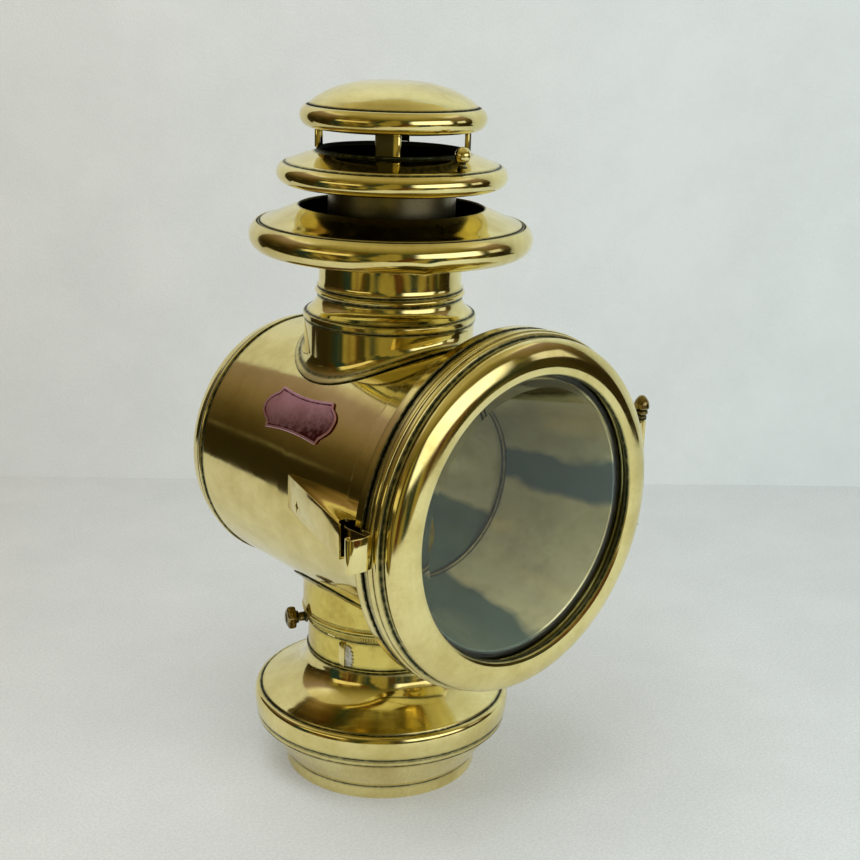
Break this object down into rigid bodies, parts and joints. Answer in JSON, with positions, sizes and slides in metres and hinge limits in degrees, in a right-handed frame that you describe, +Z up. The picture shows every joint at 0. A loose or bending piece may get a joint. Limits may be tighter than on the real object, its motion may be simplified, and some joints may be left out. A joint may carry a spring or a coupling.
{
  "type": "carriage lamp",
  "caption": "Brass oil side lamp: a round drum with a hinged, bevelled front glass and silvered reflector, a tiered vent above and a round oil font with a wick burner below.",
  "frame": {"origin": "middle of the font's flat bottom, on the surface that the lamp stands on", "axes": "+Z up along the flue, the glass faces -Y, the door's hinge is at +X and its latch at -X"},
  "size_m": [0.2109, 0.2001, 0.3716],
  "materials": {
    "polished_brass": "polished sheet brass with age in its grooves",
    "dull_brass": "unpolished brass, brown with age",
    "sooty_brass": "brass under lamp soot",
    "silver_plate": "polished silver plate, slightly tarnished",
    "copper_plate": "bare copper-coloured plate, toned purple",
    "bevelled_glass": "clear bevelled plate glass",
    "solder": "dull grey solder",
    "cotton_wick": "woven flat cotton wick"
  },
  "bodies": {
    "lamp": {"drum_shell": "polished_brass", "rear_cover": "polished_brass", "front_rim": "polished_brass", "upper_collar": "polished_brass", "lower_collar": "polished_brass", "vent_neck": "polished_brass", "lower_canopy": "polished_brass", "reflector_cone": "silver_plate", "reflector_carrier": "dull_brass", "reflector_bowl": "silver_plate", "bowl_ring": "polished_brass", "latch_housing": "polished_brass", "badge_plate": "copper_plate", "body_hinge_leaf": "polished_brass", "hinge_pin": "polished_brass"},
    "cowl": {"chimney_tube": "sooty_brass", "cowl_spider": "sooty_brass", "middle_canopy": "polished_brass", "cap_post_1": "sooty_brass", "cap_post_2": "sooty_brass", "cap_post_3": "sooty_brass", "cap_post_4": "sooty_brass", "top_cap": "polished_brass", "vent_knob": "polished_brass"},
    "door": {"door_frame": "polished_brass", "front_glass": "bevelled_glass", "glass_ring": "dull_brass", "door_hinge_leaf": "polished_brass", "door_catch": "polished_brass"},
    "latch": {"latch_spring": "dull_brass"},
    "font": {"font_bowl": "polished_brass", "font_shoulder": "polished_brass", "font_neck": "polished_brass", "neck_key": "solder", "burner_body": "dull_brass", "wick_tube": "dull_brass", "burner_cap": "dull_brass", "winder_bush": "polished_brass"},
    "winder": {"winder_spindle": "dull_brass", "winder_knob": "polished_brass", "star_wheel_1": "dull_brass", "star_wheel_2": "dull_brass"},
    "wick": {"wick": "cotton_wick"}
  },
  "joints": [
    {"name": "door_hinge", "type": "hinge", "parent": "lamp", "child": "door", "pos_m": [0.09975, -0.09025, 0.17], "axis": [0, 0, 1], "range_deg": [0, 110]},
    {"name": "latch_flex", "type": "hinge", "parent": "lamp", "child": "latch", "pos_m": [-0.07329, -0.02, 0.1737], "axis": [0, 0, -1], "range_deg": [0, 1.3], "stiffness_Nm_per_rad": 0.5},
    {"name": "cowl_lift", "type": "slide", "parent": "lamp", "child": "cowl", "axis": [0, 0, 1], "range_m": [0, 0.045]},
    {"name": "font_drop", "type": "slide", "parent": "lamp", "child": "font", "axis": [0, 0, -1], "range_m": [0, 0.08]},
    {"name": "winder_turn", "type": "hinge", "parent": "font", "child": "winder", "pos_m": [0.00271, 0.00591, 0.0845], "axis": [-0.9092, 0.4163, 0], "range_deg": [-229, 57]},
    {"name": "wick_raise", "type": "slide", "parent": "font", "child": "wick", "axis": [0, 0, 1], "range_m": [-0.02, 0.005]}
  ],
  "couplings": [
    {"joint": "wick_raise", "follows": "winder_turn", "m_per_rad": 0.005}
  ]
}
